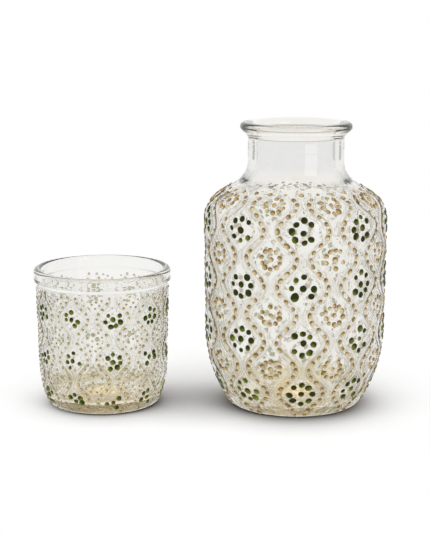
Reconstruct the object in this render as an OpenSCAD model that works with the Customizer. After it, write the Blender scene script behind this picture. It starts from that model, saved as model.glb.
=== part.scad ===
// Bedside carafe and its tumbler, both of clear pressed glass with enamel drops.
// The carafe stands on the origin, and the tumbler stands beside it on the -X side.
// Each glass is one revolved section: a chain of rounds joined by straights that leave them at a tangent.
// Drops sit on the outer wall at a run measured along the section, up from the foot.

/* [Carafe] */
// Height from the table to the top of the lip
carafe_h = 180; // [160:1:205]
// Outer diameter of the glass where the shoulder starts
carafe_d = 114.4; // [104:0.2:126]
// Outer diameter of the glass where the lower body starts to draw in
carafe_belly_d = 112.8; // [104:0.2:120]
// Height at which the lower body starts to draw in
carafe_belly_z = 50; // [42:1:58]
// Radius of the long curve of the lower body
carafe_belly_r = 85; // [76:1:100]
// Radius of the curve from the lower body to the foot
carafe_foot_r = 8; // [5:0.5:11]
// Thickness of the wall below the neck
carafe_wall = 3.2; // [2.4:0.1:4]
// Thickness of the base
carafe_base_t = 7; // [5:0.5:9]
// Radius inside, from the wall to the floor
carafe_heel_r = 12; // [8:0.5:15]
// Diameter of the hollow under the base
carafe_punt_d = 52; // [40:1:60]
// Depth of the hollow under the base
carafe_punt_h = 2.5; // [1:0.1:3.5]
// Radius of the shoulder
shoulder_r = 19.2; // [16:0.2:22]
// Fall of the shoulder from level, in degrees
shoulder_slope = 33; // [26:0.5:40]

/* [Carafe neck] */
// Outer diameter of the neck
neck_d = 60.4; // [54:0.2:66]
// Thickness of the neck's wall
neck_wall = 5.4; // [4.2:0.1:6.4]
// Height of the neck, from its straight stretch to the top of the lip
neck_h = 24; // [20:0.5:34]
// Radius from the shoulder into the neck
neck_root_r = 16; // [13:0.5:19]
// Outer diameter of the lip
lip_d = 70.4; // [68:0.2:74]
// Radius of the lip's outer roll
lip_roll_r = 2.8; // [2.2:0.1:3.2]
// Radius of the lip's inner edge
lip_edge_r = 3.6; // [2.4:0.1:4.4]
// Rise of the lip's underside from level, in degrees
lip_slope = 43; // [30:1:60]
// Radius from the neck into the spread
lip_root_r = 4; // [3:0.1:5]

/* [Tumbler] */
// Height from the table to the top of the rim
tumbler_h = 88; // [80:1:98]
// Outer diameter of the glass under the collar
tumbler_d = 83.8; // [79:0.2:85]
// Outer diameter of the glass where it starts to draw in
tumbler_belly_d = 81.2; // [77:0.2:83]
// Height at which the glass starts to draw in
tumbler_belly_z = 28; // [24:1:32]
// Radius of the long curve at the bottom of the wall
tumbler_belly_r = 70; // [60:1:84]
// Radius of the curve into the foot
tumbler_foot_r = 6; // [4:0.5:8]
// Thickness of the wall
tumbler_wall = 3; // [2.2:0.1:3.6]
// Thickness of the base
tumbler_base_t = 6.5; // [4.5:0.5:8.5]
// Radius inside, from the wall to the floor
tumbler_heel_r = 9; // [6:0.5:12]
// Diameter of the hollow under the base
tumbler_punt_d = 44; // [34:1:52]
// Depth of the hollow under the base
tumbler_punt_h = 2; // [0.8:0.1:3]
// Outer diameter of the collar round the rim
collar_d = 86.8; // [86.4:0.2:92]
// Height of the collar
collar_h = 10; // [8.5:0.1:13]
// Thickness of the rounded rim
rim_t = 4.8; // [4:0.1:5.6]
// Radius of the collar's lower edge
collar_edge_r = 1.2; // [0.8:0.1:1.8]
// Radius from the wall into the collar
collar_root_r = 1.5; // [1:0.1:2]
// Rise of the collar's underside from level, in degrees
collar_slope = 49; // [35:1:65]
// Gap between the two pieces, collar to body
standing_gap = 21.8; // [15:0.2:40]

/* [Carafe pattern] */
// Columns of green flowers round the body, with as many gold ones between them
carafe_columns = 9; // [7:1:10]
// Turn of the first green column from the front, towards +X
carafe_turn = 2.2; // [0:0.1:40]
// Run from the foot to the first row of green flowers
carafe_first_run = 23.7; // [20:0.1:28]
// Run left bare below the neck's root, up to the ring of drops
ring_inset = 5.5; // [4:0.1:7]
// Run from the ring of drops down to the top row of gold flowers
ring_to_gold = 9.4; // [9:0.1:12]
// Drops in the ring round the shoulder
ring_count = 27; // [18:1:36]
// Swing of the wavy lines to each side, in degrees
carafe_sway = 5.8; // [4:0.1:6.5]
// Drops on each wavy line
carafe_line_count = 34; // [28:1:44]
// Run from the foot to the lowest drop of a wavy line
carafe_line_foot = 6.5; // [5.5:0.5:12]
// Run left bare between the ring and the top drop of a wavy line
carafe_line_inset = 4.6; // [4:0.1:6]

/* [Tumbler pattern] */
// Columns of green flowers round the tumbler
tumbler_columns = 10; // [8:1:11]
// Turn of the first green column from the front, towards +X
tumbler_turn = 13; // [0:0.1:36]
// Run from the foot to the first row of green flowers
tumbler_first_run = 13; // [11:0.1:16]
// Run left bare below the collar
collar_inset = 2.5; // [2:0.1:4]
// Swing of the wavy lines to each side, in degrees
tumbler_sway = 5.2; // [3.5:0.1:5.8]
// Drops on each wavy line
tumbler_line_count = 24; // [18:1:27]
// Run from the foot to the lowest drop of a wavy line
tumbler_line_foot = 5.5; // [4.5:0.5:10]

/* [Enamel drops] */
// Drops round the centre of a green flower on the carafe
carafe_green_petals = 8; // [6:1:8]
// Radius of a green flower on the carafe, centre to drop
carafe_green_ring_r = 6.8; // [6:0.1:8]
// Diameter of its drops
carafe_green_d = 3.9; // [3:0.1:4.2]
// Height of its drops
carafe_green_h = 0.65; // [0.4:0.05:1]
// Drops round the centre of a gold flower on the carafe
carafe_gold_petals = 10; // [8:1:10]
// Radius of a gold flower on the carafe, centre to drop
carafe_gold_ring_r = 5.8; // [5.4:0.1:6.4]
// Diameter of its drops
carafe_gold_d = 3.1; // [2.2:0.1:3.3]
// Height of its drops
carafe_gold_h = 0.55; // [0.3:0.05:0.8]
// Diameter of the drops on the carafe's wavy lines
carafe_dot_d = 2.4; // [1.6:0.1:2.6]
// Height of the drops on the carafe's wavy lines
carafe_dot_h = 0.4; // [0.25:0.05:0.7]
// Diameter of the drops in the ring round the shoulder
ring_dot_d = 2.8; // [2:0.1:3.2]
// Height of the drops in the ring round the shoulder
ring_dot_h = 0.5; // [0.3:0.05:0.8]
// Drops round the centre of a green flower on the tumbler
tumbler_green_petals = 7; // [5:1:7]
// Radius of a green flower on the tumbler, centre to drop
tumbler_green_ring_r = 4.5; // [4.2:0.1:5]
// Diameter of its drops
tumbler_green_d = 3.1; // [2.4:0.1:3.3]
// Height of its drops
tumbler_green_h = 0.55; // [0.3:0.05:0.8]
// Drops round the centre of a gold flower on the tumbler
tumbler_gold_petals = 6; // [5:1:7]
// Radius of a gold flower on the tumbler, centre to drop
tumbler_gold_ring_r = 3.4; // [3:0.1:4]
// Diameter of its drops
tumbler_gold_d = 1.5; // [1.2:0.1:1.8]
// Height of its drops
tumbler_gold_h = 0.35; // [0.25:0.05:0.6]
// Diameter of the drops on the tumbler's wavy lines
tumbler_dot_d = 1.8; // [1.4:0.1:2]
// Height of the drops on the tumbler's wavy lines
tumbler_dot_h = 0.35; // [0.25:0.05:0.6]
// Gap left under the flat back of each drop
drop_gap = 0.02; // [0.01:0.01:0.05]

/* [Hidden] */
$fn = 72;

clear_glass = [0.86, 0.89, 0.88, 0.45];
green_enamel = [0.36, 0.42, 0.12];
gold_enamel = [0.78, 0.60, 0.32];

// Sagitta kept by the short sides that stand for a round
round_tol = 0.015;
// Azimuth of the front, which faces -Y
front = -90;

carafe_rows = 4;
carafe_line_bands = 5;
tumbler_rows = 3;
tumbler_line_bands = 4;

// Face angle of the straight that leaves round a at a tangent and meets round b.
// A round is [centre, radius], with the radius below 0 where the glass is hollowed.
function shared_face(a, b) =
    let (way = b[0] - a[0])
    atan2(way.y, way.x) - acos(max(-1, min(1, (a[1] - b[1]) / norm(way))));

// The same angle counted on from the last one, the way the round turns
function counted_on(last, face, turn) = last + turn * ((turn * (face - last) + 450) % 360 - 90);

// Arcs of a chain of rounds, each as [centre, radius, first face angle, last face angle]
function arcs_of(chain, first, last, i = 0) =
    let (at_end = i == len(chain) - 1)
    let (turn = sign(chain[i][1]))
    let (face = at_end ? last : counted_on(first, shared_face(chain[i], chain[i + 1]), turn))
    concat([[chain[i][0], chain[i][1], first, face]], at_end ? [] : arcs_of(chain, face, last, i + 1));

function arc_point(arc, face) = arc[0] + arc[1] * [cos(face), sin(face)];

function arc_run(arc) = abs(arc[1] * (arc[3] - arc[2])) * PI / 180;

function arc_points(arc) =
    let (side = 2 * acos(1 - round_tol / abs(arc[1])))
    let (steps = max(2, ceil(abs(arc[3] - arc[2]) / side)))
    [for (i = [0 : steps]) arc_point(arc, arc[2] + (arc[3] - arc[2]) * i / steps)];

function straight_after(arcs, i) =
    i + 1 < len(arcs) ? norm(arc_point(arcs[i + 1], arcs[i + 1][2]) - arc_point(arcs[i], arcs[i][3])) : 0;

// Run along the first few arcs of a chain, with the straights between them
function run_to(arcs, count) =
    count == 0 ? 0 : run_to(arcs, count - 1) + arc_run(arcs[count - 1]) + straight_after(arcs, count - 1);

// Spot on a chain at a run from its start: [point of the section, face angle]
function spot(arcs, run, i = 0) =
    let (bend = arc_run(arcs[i]))
    let (onward = bend + straight_after(arcs, i))
    let (turned = arcs[i][2] + (arcs[i][3] - arcs[i][2]) * run / bend)
    run <= bend ? [arc_point(arcs[i], turned), turned]
    : run <= onward || i + 1 == len(arcs) ?
        [arc_point(arcs[i], arcs[i][3]) + (run - bend) * [-sin(arcs[i][3]), cos(arcs[i][3])], arcs[i][3]]
    : spot(arcs, run - onward, i + 1);

// Centre of a small round of radius r, standing on height z, that rolls inside a large one
function rolled_in(centre, large_r, r, z) =
    [centre.x + sqrt(pow(large_r - r, 2) - pow(z + r - centre.y, 2)), z + r];

// Rise between the centres of two rounds that curve opposite ways, from the face angle of the straight
// between them, the distance across and the sum of their radii
function rise_at(face, across, radii) = (radii - across * cos(face)) / sin(face);

// Hollow under a base, from the axis to its rim
function punt_arc(rim_r, depth) =
    let (r = (rim_r * rim_r + depth * depth) / (2 * depth))
    [[0, depth - r], -r, -90, -90 - asin(rim_r / r)];

// Carafe: rounds of the outer wall, foot to neck, and of the inner wall, neck to floor
neck_r = neck_d / 2;
bore_r = neck_r - neck_wall;
carafe_belly = [[carafe_belly_d / 2 - carafe_belly_r, carafe_belly_z], carafe_belly_r];
carafe_foot = rolled_in(carafe_belly[0], carafe_belly_r, carafe_foot_r, 0);
carafe_heel = rolled_in(carafe_belly[0], carafe_belly_r - carafe_wall, carafe_heel_r, carafe_base_t);
root_c = [neck_r + neck_root_r, carafe_h - neck_h];
shoulder_x = carafe_d / 2 - shoulder_r;
shoulder_rise = rise_at(90 - shoulder_slope, root_c.x - shoulder_x, shoulder_r + neck_root_r);
shoulder_c = [shoulder_x, root_c.y - shoulder_rise];
inner_root_c = root_c + (neck_wall - carafe_wall) * [-1, tan(shoulder_slope)];
lip_c = [lip_d / 2 - lip_roll_r, carafe_h - lip_roll_r];
lip_root_x = neck_r + lip_root_r;
lip_rise = rise_at(90 - lip_slope, lip_root_x - lip_c.x, lip_root_r + lip_roll_r);
lip_root_c = [lip_root_x, lip_c.y - lip_rise];
carafe_outer = arcs_of([
    [carafe_foot, carafe_foot_r],
    carafe_belly,
    [shoulder_c, shoulder_r],
    [root_c, -neck_root_r],
    [lip_root_c, -lip_root_r],
    [lip_c, lip_roll_r]
], -90, 90);
carafe_inner = arcs_of([
    [[bore_r + lip_edge_r, carafe_h - lip_edge_r], lip_edge_r],
    [inner_root_c, neck_root_r + carafe_wall],
    [shoulder_c, carafe_wall - shoulder_r],
    [carafe_belly[0], carafe_wall - carafe_belly_r],
    [carafe_heel, -carafe_heel_r]
], 90, 90);

// Tumbler: the same, from its foot to the top of its rim, and down to its floor
tumbler_belly = [[tumbler_belly_d / 2 - tumbler_belly_r, tumbler_belly_z], tumbler_belly_r];
tumbler_foot = rolled_in(tumbler_belly[0], tumbler_belly_r, tumbler_foot_r, 0);
tumbler_heel = rolled_in(tumbler_belly[0], tumbler_belly_r - tumbler_wall, tumbler_heel_r, tumbler_base_t);
rim_c = [(collar_d - rim_t) / 2, tumbler_h - rim_t / 2];
collar_root_c = [tumbler_d / 2 + collar_root_r, tumbler_h - collar_h];
edge_x = collar_d / 2 - collar_edge_r;
edge_rise = rise_at(90 - collar_slope, collar_root_c.x - edge_x, collar_root_r + collar_edge_r);
tumbler_outer = arcs_of([
    [tumbler_foot, tumbler_foot_r],
    tumbler_belly,
    [collar_root_c, -collar_root_r],
    [[edge_x, collar_root_c.y + edge_rise], collar_edge_r],
    [rim_c, rim_t / 2]
], -90, 90);
tumbler_inner = arcs_of([
    [rim_c, rim_t / 2],
    [tumbler_belly[0], tumbler_wall - tumbler_belly_r],
    [tumbler_heel, -tumbler_heel_r]
], 90, 90);
tumbler_x = -(carafe_d + collar_d) / 2 - standing_gap;

// Runs of the pattern's rows. Gold rows lie half a pitch above the green ones.
ring_run = run_to(carafe_outer, 3) - ring_inset;
carafe_pitch = (ring_run - ring_to_gold - carafe_first_run) / (carafe_rows - 0.5);
carafe_line_top = ring_run - carafe_line_inset;
collar_run = run_to(tumbler_outer, 2);
tumbler_line_top = collar_run - collar_inset;
tumbler_pitch = (tumbler_line_top - tumbler_first_run) / (tumbler_rows - 0.5);

// Glass revolved from its outer and inner walls, its floor and the hollow under it
module glass(outer, inner, punt) {
    section = [for (arc = concat([punt], outer, inner)) each arc_points(arc)];
    floor_z = inner[len(inner) - 1][0].y + inner[len(inner) - 1][1];
    rotate_extrude()
        polygon(concat(section, [[0, floor_z]]));
}

// One drop of enamel: a cap of a ball on a flat back
module drop(d, h) {
    ball_r = (d * d / 4 + h * h) / (2 * h);
    rotate_extrude()
        intersection() {
            translate([0, h - ball_r])
                circle(ball_r);
            square(d);
        }
}

// Sets a drop on the outer wall at a run up from the foot
module on_wall(outer, run, azimuth) {
    here = spot(outer, run);
    rotate(azimuth)
        translate([here[0].x, 0, here[0].y])
            rotate([0, 90 - here[1], 0])
                translate([0, 0, drop_gap])
                    children();
}

// A row of flowers, each a drop with a ring of drops round it, up to a top run
module flower_row(outer, run, turn, columns, petals, ring_r, d, h, top) {
    for (column = [0 : columns - 1]) {
        azimuth = front + turn + 360 / columns * column;
        if (run < top)
            on_wall(outer, run, azimuth) drop(d, h);
        for (petal = [0 : petals - 1]) {
            petal_run = run + ring_r * cos(360 / petals * petal);
            off_axis = ring_r * sin(360 / petals * petal) / spot(outer, petal_run)[0].x * 180 / PI;
            if (petal_run < top)
                on_wall(outer, petal_run, azimuth + off_axis) drop(d, h);
        }
    }
}

// One band of the drops on the wavy lines, which swing apart at each green row and together at each gold one
module line_band(outer, columns, turn, sway, first_run, pitch, foot, top, count, bands, band, d, h) {
    for (line = [0 : 2 * columns - 1])
        for (k = [0 : count - 1])
            if (floor(k * bands / count) == band) {
                run = foot + (top - foot) * k / (count - 1);
                swing = sway * cos(360 * (run - first_run) / pitch) * (line % 2 == 0 ? 1 : -1);
                on_wall(outer, run, front + turn + 180 / columns * (line + 0.5) + swing) drop(d, h);
            }
}

module carafe_glass() {
    color(clear_glass)
        glass(carafe_outer, carafe_inner, punt_arc(carafe_punt_d / 2, carafe_punt_h));
}

module carafe_green_row(row) {
    color(green_enamel)
        flower_row(carafe_outer, carafe_first_run + carafe_pitch * row, carafe_turn, carafe_columns,
            carafe_green_petals, carafe_green_ring_r, carafe_green_d, carafe_green_h, ring_run);
}

module carafe_gold_row(row) {
    color(gold_enamel)
        flower_row(carafe_outer, carafe_first_run + carafe_pitch * (row + 0.5),
            carafe_turn + 180 / carafe_columns, carafe_columns,
            carafe_gold_petals, carafe_gold_ring_r, carafe_gold_d, carafe_gold_h, ring_run);
}

module carafe_line_drops(band) {
    color(gold_enamel)
        line_band(carafe_outer, carafe_columns, carafe_turn, carafe_sway, carafe_first_run, carafe_pitch,
            carafe_line_foot, carafe_line_top, carafe_line_count, carafe_line_bands, band,
            carafe_dot_d, carafe_dot_h);
}

module carafe_shoulder_ring() {
    color(gold_enamel)
        for (k = [0 : ring_count - 1])
            on_wall(carafe_outer, ring_run, front + carafe_turn + 360 / ring_count * k)
                drop(ring_dot_d, ring_dot_h);
}

module tumbler_glass() {
    color(clear_glass)
        translate([tumbler_x, 0, 0])
            glass(tumbler_outer, tumbler_inner, punt_arc(tumbler_punt_d / 2, tumbler_punt_h));
}

module tumbler_green_row(row) {
    color(green_enamel)
        translate([tumbler_x, 0, 0])
            flower_row(tumbler_outer, tumbler_first_run + tumbler_pitch * row, tumbler_turn, tumbler_columns,
                tumbler_green_petals, tumbler_green_ring_r, tumbler_green_d, tumbler_green_h,
                tumbler_line_top);
}

module tumbler_gold_row(row) {
    color(gold_enamel)
        translate([tumbler_x, 0, 0])
            flower_row(tumbler_outer, tumbler_first_run + tumbler_pitch * (row + 0.5),
                tumbler_turn + 180 / tumbler_columns, tumbler_columns,
                tumbler_gold_petals, tumbler_gold_ring_r, tumbler_gold_d, tumbler_gold_h, tumbler_line_top);
}

module tumbler_line_drops(band) {
    color(gold_enamel)
        translate([tumbler_x, 0, 0])
            line_band(tumbler_outer, tumbler_columns, tumbler_turn, tumbler_sway, tumbler_first_run,
                tumbler_pitch, tumbler_line_foot, tumbler_line_top, tumbler_line_count,
                tumbler_line_bands, band, tumbler_dot_d, tumbler_dot_h);
}

carafe_glass();
carafe_green_row(0);  // carafe_green_row_1
carafe_green_row(1);  // carafe_green_row_2
carafe_green_row(2);  // carafe_green_row_3
carafe_green_row(3);  // carafe_green_row_4
carafe_gold_row(0);  // carafe_gold_row_1
carafe_gold_row(1);  // carafe_gold_row_2
carafe_gold_row(2);  // carafe_gold_row_3
carafe_gold_row(3);  // carafe_gold_row_4
carafe_line_drops(0);  // carafe_line_drops_1
carafe_line_drops(1);  // carafe_line_drops_2
carafe_line_drops(2);  // carafe_line_drops_3
carafe_line_drops(3);  // carafe_line_drops_4
carafe_line_drops(4);  // carafe_line_drops_5
carafe_shoulder_ring();
tumbler_glass();
tumbler_green_row(0);  // tumbler_green_row_1
tumbler_green_row(1);  // tumbler_green_row_2
tumbler_green_row(2);  // tumbler_green_row_3
tumbler_gold_row(0);  // tumbler_gold_row_1
tumbler_gold_row(1);  // tumbler_gold_row_2
tumbler_gold_row(2);  // tumbler_gold_row_3
tumbler_line_drops(0);  // tumbler_line_drops_1
tumbler_line_drops(1);  // tumbler_line_drops_2
tumbler_line_drops(2);  // tumbler_line_drops_3
tumbler_line_drops(3);  // tumbler_line_drops_4
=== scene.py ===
import math
import random

import bpy
import numpy as np
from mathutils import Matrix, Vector


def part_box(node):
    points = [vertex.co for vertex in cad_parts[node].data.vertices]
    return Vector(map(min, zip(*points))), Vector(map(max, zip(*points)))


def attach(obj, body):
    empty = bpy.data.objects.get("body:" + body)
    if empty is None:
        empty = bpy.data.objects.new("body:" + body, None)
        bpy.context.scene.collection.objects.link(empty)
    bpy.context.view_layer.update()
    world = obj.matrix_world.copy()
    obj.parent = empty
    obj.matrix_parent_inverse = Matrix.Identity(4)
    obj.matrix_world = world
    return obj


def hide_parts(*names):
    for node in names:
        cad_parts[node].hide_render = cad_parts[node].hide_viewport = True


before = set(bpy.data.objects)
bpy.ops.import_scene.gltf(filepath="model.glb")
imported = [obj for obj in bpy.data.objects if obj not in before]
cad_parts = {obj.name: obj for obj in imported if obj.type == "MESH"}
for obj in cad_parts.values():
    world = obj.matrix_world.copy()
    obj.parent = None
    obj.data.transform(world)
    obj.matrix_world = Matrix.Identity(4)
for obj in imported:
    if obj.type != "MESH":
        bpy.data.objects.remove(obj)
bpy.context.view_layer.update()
print("frame in,", len(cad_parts), "nodes")

mm = 0.001
frontTurn = -90  # degrees round the axis, so that 0 of a pattern faces -Y
halfRow = 0.5  # gold flowers stand half a row above the green ones and half a column round


# a socket of a node tree that can be reckoned with like a number
class Wire:
    def __init__(self, tree, socket=None):
        self.tree = tree
        self.socket = socket

    # any node: its settings first, then a value or a wire for each socket named
    def node(self, kind, settings=None, sockets=None, out=0):
        made = self.tree.nodes.new(kind)
        for key, value in (settings or {}).items():
            setattr(made, key, value)
        for key, value in (sockets or {}).items():
            if isinstance(value, Wire):
                self.tree.links.new(value.socket, made.inputs[key])
            else:
                made.inputs[key].default_value = value
        return Wire(self.tree, made.outputs[out]) if made.outputs else made

    def out(self, key):
        return Wire(self.tree, self.socket.node.outputs[key])

    def calc(self, operation, first, second=0.0, third=0.0):
        return self.node("ShaderNodeMath", {"operation": operation}, {0: first, 1: second, 2: third})

    def __add__(self, other):
        return self.calc("ADD", self, other)

    def __radd__(self, other):
        return self.calc("ADD", other, self)

    def __sub__(self, other):
        return self.calc("SUBTRACT", self, other)

    def __rsub__(self, other):
        return self.calc("SUBTRACT", other, self)

    def __mul__(self, other):
        return self.calc("MULTIPLY", self, other)

    def __rmul__(self, other):
        return self.calc("MULTIPLY", other, self)

    def __truediv__(self, other):
        return self.calc("DIVIDE", self, other)

    def __rtruediv__(self, other):
        return self.calc("DIVIDE", other, self)

    def ramp(self, low, high, start=0.0, end=1.0):
        return self.node("ShaderNodeMapRange", {"interpolation_type": "SMOOTHSTEP"},
                         {"Value": self, "From Min": low, "From Max": high, "To Min": start, "To Max": end})

    def tint(self, dark, light):
        return self.node("ShaderNodeMix", {"data_type": "RGBA"}, {0: self, 6: dark, 7: light}, out=2)

    def mix(self, low, high):
        return self.node("ShaderNodeMix", {"data_type": "FLOAT"}, {0: self, 2: low, 3: high})

    def vector(self, operation, first, second, out=0):
        return self.node("ShaderNodeVectorMath", {"operation": operation}, {0: first, 1: second}, out)

    def noise(self, place, scale, detail, distortion=0.0):
        return self.node("ShaderNodeTexNoise", sockets={
            "Vector": place, "Scale": scale, "Detail": detail, "Distortion": distortion})

    # a value stored on the points of a piece
    def read(self, label, part="Fac"):
        return self.node("ShaderNodeAttribute", {"attribute_name": label}).out(part)

    def feed(self, made, label):
        self.tree.links.new(self.socket, made.inputs[label])


def newLook(name):
    look = bpy.data.materials.new(name)
    look.use_nodes = True
    shader = look.node_tree.nodes["Principled BSDF"]
    return look, shader, Wire(look.node_tree)


# section of a glass: rounds joined by straights at a tangent, each with its centre's radius and height
# and a radius of its own, which is negative where the wall curves the other way
def sharedFace(a, b):
    reach = math.hypot(b[0] - a[0], b[1] - a[1])
    return math.atan2(b[1] - a[1], b[0] - a[0]) - math.acos(max(-1, min(1, (a[2] - b[2]) / reach)))


# each round with the two directions it faces where it begins and ends
def bendsOf(chain, first, last):
    bends = []
    for i, (x, z, r) in enumerate(chain):
        face = last
        if i + 1 < len(chain):
            side = math.copysign(1, r)
            # on a round the wall may turn back by up to a quarter
            turned = (side * (sharedFace(chain[i], chain[i + 1]) - first) + 2.5 * math.pi) % (2 * math.pi)
            face = first + side * (turned - 0.5 * math.pi)
        bends.append((x, z, r, first, face))
        first = face
    return bends


rowTurn = 0.14  # most radians from one row to the next on a round
touching = 0.02  # millimetres, under which two rounds need no straight between them


# rows along a section, each its run, radius, height and facing
def walk(bends, steps):
    rows = []
    run = 0
    for i, (x, z, r, first, last) in enumerate(bends):
        start = (x + r * math.cos(first), z + r * math.sin(first))
        if rows:
            run0, x0, z0, face0 = rows[-1]
            gap = math.hypot(start[0] - x0, start[1] - z0)
            count = math.ceil(gap / steps[i - 1])
            for k in range(1, count):
                t = k / count
                rows.append((run0 + gap * t, x0 + (start[0] - x0) * t, z0 + (start[1] - z0) * t, face0))
            run = run0 + gap
        bend = abs(r * (last - first))
        count = max(2, math.ceil(bend / steps[i]), math.ceil(abs(last - first) / rowTurn))
        for k in range(1 if rows and gap < touching else 0, count + 1):
            face = first + (last - first) * k / count
            rows.append((run + bend * k / count, x + r * math.cos(face), z + r * math.sin(face), face))
    return np.array(rows)


# centre of a small round that stands on height z and rolls inside a large one
def rolledIn(large, r, z):
    return (large[0] + math.sqrt((large[2] - r) ** 2 - (z + r - large[1]) ** 2), z + r, r)


# rise between two rounds that curve opposite ways, from the slope of the straight between them
def riseAt(slope, across, radii):
    face = math.radians(90 - slope)
    return (radii - across * math.cos(face)) / math.sin(face)


# rows of the shallow hollow under a base, from the axis out
def puntRows(rim, depth, count):
    r = (rim * rim + depth * depth) / (2 * depth)
    reach = math.asin(rim / r)
    turns = [reach * k / count for k in range(count + 1)]
    return np.array([(0, r * math.sin(t), depth - r + r * math.cos(t), -math.pi / 2) for t in turns])


# sizes in millimetres, slopes and turns in degrees
carafe = {
    "height": 180, "width": 114.4, "bellyWidth": 112.8, "bellyHeight": 50, "bellyRound": 85,
    "footRound": 8, "wall": 3.2, "base": 7, "heel": 12, "puntWidth": 52, "puntDepth": 2.5,
    "shoulder": 19.2, "slope": 33,
    "neckWidth": 60.4, "neckWall": 5.4, "neckHeight": 24, "neckRoot": 16,
    "lipWidth": 70.4, "lipRoll": 2.8, "lipEdge": 3.6, "lipSlope": 43, "lipRoot": 4,
    "x": 0.0,  # of its axis
    # from row to row of the skin, on each round in turn
    "outerSteps": [1, 1, 1, 1.4, 3, 1], "innerSteps": [1, 6, 3, 6, 2],
    # pattern, placed by the run up the outer wall
    "columns": 9, "turn": 2.2, "sway": 5.8, "firstRun": 23.7, "ringInset": 5.5, "ringToGold": 9.4,
    "lineFoot": 6.5, "lineInset": 4.6, "lineCount": 34, "rows": 4, "between": 5,
    "ridge": 0.36, "ridgeHalf": 1.15, "reliefFoot": 9, "reliefPast": -1,
    # looks: where they change, their strengths and the colours; among them the reach and strength of a
    # painted amber glow in the base and of painted shade along the edges of the lines
    "paintedGlowReach": 14, "clearFrom": 146, "threads": (164, 175), "lipFrom": 172,
    "giltLow": 0.28, "paintedGlowStrength": 0.6, "streaks": 0.8, "dimples": 0.8, "paintedEdgeShade": 0.6,
    "drawn": (1, 1, 3), "shadeLow": 0.0,
    # tints: the body, a shade lighter on the shoulder as painted light, then a darker warm streaked tint
    # low in the base, and the lip
    "straw": (0.949, 0.948, 0.933, 1), "paintedUpperLight": (0.982, 0.982, 0.976, 1),
    "baseTint": (0.71, 0.61, 0.345, 1), "lip": (0.965, 0.962, 0.945, 1),
}
tumbler = {
    "height": 88, "width": 83.8, "bellyWidth": 81.2, "bellyHeight": 28, "bellyRound": 70,
    "footRound": 6, "wall": 3, "base": 6.5, "heel": 9, "puntWidth": 44, "puntDepth": 2,
    "collarWidth": 86.8, "collarHeight": 10, "rim": 4.8,
    "collarEdge": 1.2, "collarRoot": 1.5, "collarSlope": 49,
    "outerSteps": [0.9, 0.9, 1, 1.5, 1], "innerSteps": [1, 5, 2],
    # pattern
    "columns": 10, "turn": 13, "sway": 5.2, "firstRun": 13, "collarInset": 2.5,
    "lineFoot": 5.5, "lineCount": 24, "rows": 3, "between": 4,
    "ridge": 0.25, "ridgeHalf": 0.95, "reliefFoot": 8, "reliefPast": 1.5,
    # looks, with the reach and strength of a painted amber glow in the base and of painted shade along the
    # edges of the lines
    "paintedGlowReach": 16, "clearFrom": 80, "threads": (77, 82), "lipFrom": 80,
    "giltLow": 0.35, "paintedGlowStrength": 0.32, "streaks": 0.2, "dimples": 0.0, "paintedEdgeShade": 0.35,
    "drawn": (0.4, 0.4, 3.5), "shadeLow": 0.5,
    # tints: the body, a shade lighter higher up as painted light, then a darker warm streaked tint low in
    # the base, and the rim
    "straw": (0.938, 0.938, 0.924, 1), "paintedUpperLight": (0.940, 0.940, 0.930, 1),
    "baseTint": (0.52, 0.42, 0.20, 1), "lip": (0.945, 0.946, 0.935, 1),
}
hair = 0.01  # millimetres, for telling places apart


def carafeSection(c):
    belly = (c["bellyWidth"] / 2 - c["bellyRound"], c["bellyHeight"], c["bellyRound"])
    foot = rolledIn(belly, c["footRound"], 0)
    inside = (belly[0], belly[1], belly[2] - c["wall"])
    heel = rolledIn(inside, c["heel"], c["base"])
    neck = c["neckWidth"] / 2
    root = (neck + c["neckRoot"], c["height"] - c["neckHeight"])
    thicker = c["neckWall"] - c["wall"]
    innerRoot = (root[0] - thicker, root[1] + thicker * math.tan(math.radians(c["slope"])))
    shoulderX = c["width"] / 2 - c["shoulder"]
    shoulderZ = root[1] - riseAt(c["slope"], root[0] - shoulderX, c["shoulder"] + c["neckRoot"])
    lip = (c["lipWidth"] / 2 - c["lipRoll"], c["height"] - c["lipRoll"])
    lipRootX = neck + c["lipRoot"]
    lipRootZ = lip[1] - riseAt(c["lipSlope"], lipRootX - lip[0], c["lipRoot"] + c["lipRoll"])
    outer = bendsOf([
        foot, belly, (shoulderX, shoulderZ, c["shoulder"]), (root[0], root[1], -c["neckRoot"]),
        (lipRootX, lipRootZ, -c["lipRoot"]), (lip[0], lip[1], c["lipRoll"]),
    ], -math.pi / 2, math.pi / 2)
    inner = bendsOf([
        (neck - c["neckWall"] + c["lipEdge"], c["height"] - c["lipEdge"], c["lipEdge"]),
        (innerRoot[0], innerRoot[1], c["neckRoot"] + c["wall"]),
        (shoulderX, shoulderZ, c["wall"] - c["shoulder"]),
        (belly[0], belly[1], c["wall"] - c["bellyRound"]),
        (heel[0], heel[1], -c["heel"]),
    ], math.pi / 2, math.pi / 2)
    c["outer"] = walk(outer, c["outerSteps"])
    c["inner"] = walk(inner, c["innerSteps"])
    slopeEnd = outer[3][0] + outer[3][2] * math.cos(outer[3][3])
    patternRows = c["outer"][c["outer"][:, 1] >= slopeEnd - hair]
    c["ringRun"] = float(patternRows[-1][0]) - c["ringInset"]
    c["dropTop"] = c["ringRun"]
    c["pitch"] = (c["ringRun"] - c["ringToGold"] - c["firstRun"]) / (c["rows"] - halfRow)
    c["lineTop"] = c["ringRun"] - c["lineInset"]
    c["reliefTop"] = c["ringRun"] + c["reliefPast"]


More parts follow.
